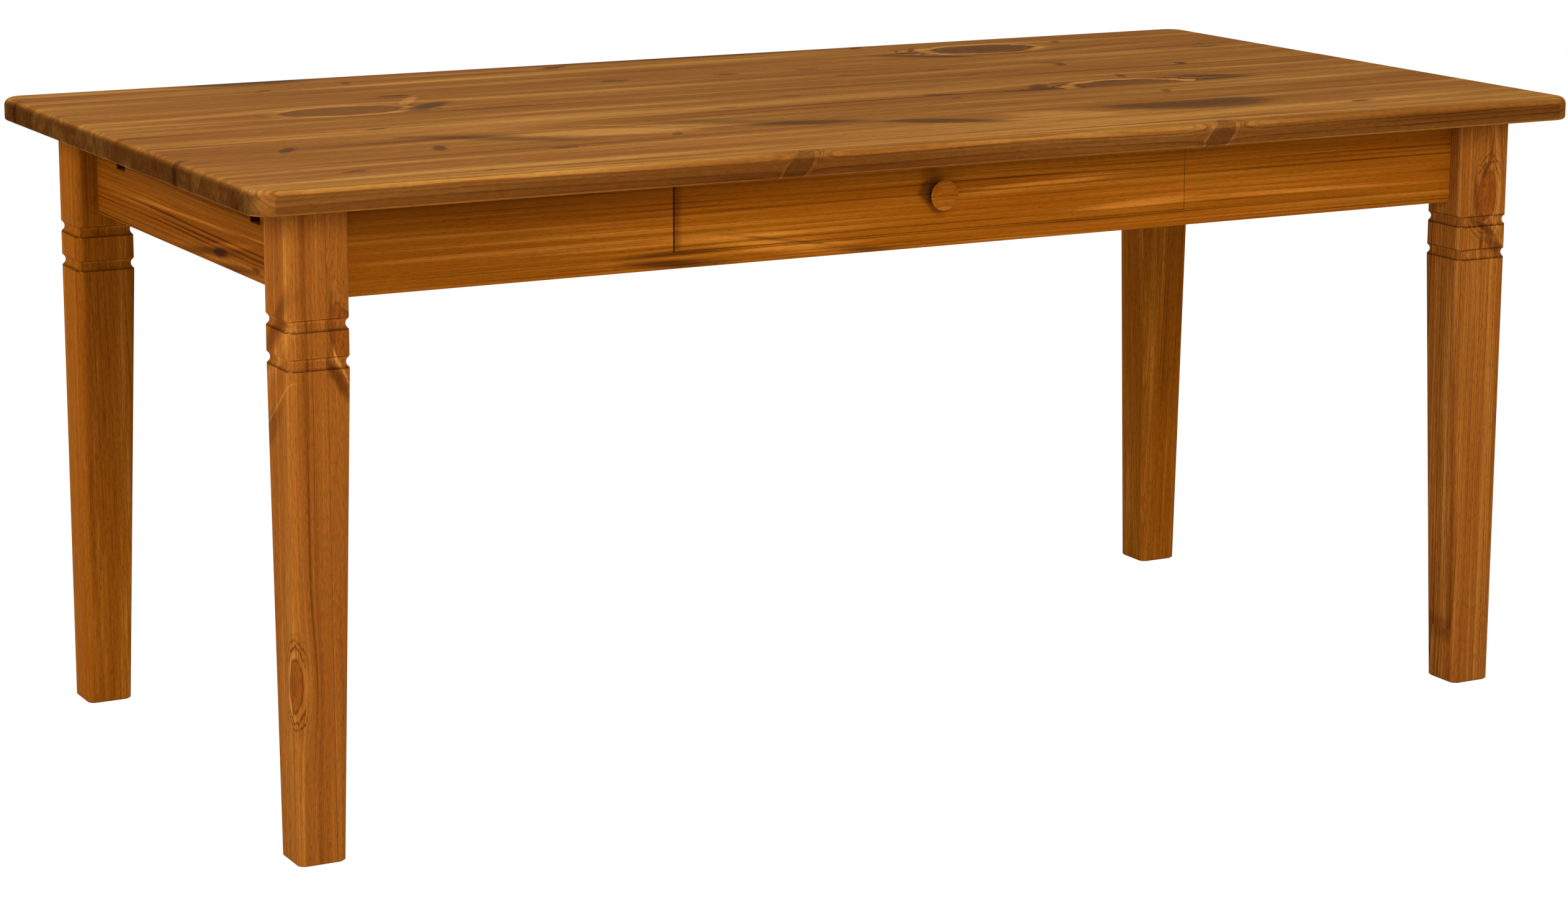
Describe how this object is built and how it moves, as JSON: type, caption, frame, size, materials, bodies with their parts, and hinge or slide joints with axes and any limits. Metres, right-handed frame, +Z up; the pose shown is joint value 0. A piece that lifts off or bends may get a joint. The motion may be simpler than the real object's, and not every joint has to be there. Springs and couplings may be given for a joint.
{
  "type": "tavern table",
  "caption": "Rectangular solid pine dining table with tapered, grooved square legs, recessed aprons, a flush drawer with a turned knob, and slots for extension leaves.",
  "frame": {"origin": "on the floor, under the middle of the table", "axes": "+Z up, X along the table's length, -Y the side with the drawer"},
  "size_m": [1.75, 0.89, 0.76],
  "materials": {
    "honey_pine": "stained and oiled, satin",
    "plain_pine": "planed, unfinished",
    "hardboard": "smooth, semi-matt",
    "beech": "unfinished",
    "zinc_steel": "zinc plated"
  },
  "bodies": {
    "table": {"angle_brackets": "zinc_steel", "apron_back": "honey_pine", "apron_dowels": "beech", "apron_end_left": "honey_pine", "apron_end_right": "honey_pine", "apron_front": "honey_pine", "block_screws": "zinc_steel", "bolt_nuts": "zinc_steel", "bolt_washers": "zinc_steel", "bracket_screws": "zinc_steel", "corner_block_back_left": "plain_pine", "corner_block_back_right": "plain_pine", "corner_block_front_left": "plain_pine", "corner_block_front_right": "plain_pine", "cross_rail_left": "plain_pine", "cross_rail_right": "plain_pine", "drawer_guide_left": "plain_pine", "drawer_guide_right": "plain_pine", "drawer_runner_left": "plain_pine", "drawer_runner_right": "plain_pine", "hanger_bolts": "zinc_steel", "leg_back_left": "honey_pine", "leg_back_right": "honey_pine", "leg_front_left": "honey_pine", "leg_front_right": "honey_pine", "rail_dowels": "beech", "shut_stop_left": "plain_pine", "shut_stop_right": "plain_pine", "top_rail": "plain_pine", "top_rail_screws": "zinc_steel", "top_stave_1": "honey_pine", "top_stave_2": "honey_pine", "top_stave_3": "honey_pine", "top_stave_4": "honey_pine", "top_stave_5": "honey_pine", "top_stave_6": "honey_pine", "top_stave_7": "honey_pine"},
    "drawer": {"drawer_front": "honey_pine", "drawer_side_left": "plain_pine", "drawer_side_right": "plain_pine", "drawer_back": "plain_pine", "drawer_bottom": "hardboard", "drawer_dowels": "beech", "bottom_nails": "zinc_steel", "out_stop": "plain_pine", "out_stop_screws": "zinc_steel", "knob": "honey_pine", "knob_washer": "zinc_steel", "knob_screw": "zinc_steel"}
  },
  "joints": [
    {"name": "drawer_slide", "type": "slide", "parent": "table", "child": "drawer", "axis": [0, -1, 0], "range_m": [0, 0.3]}
  ]
}
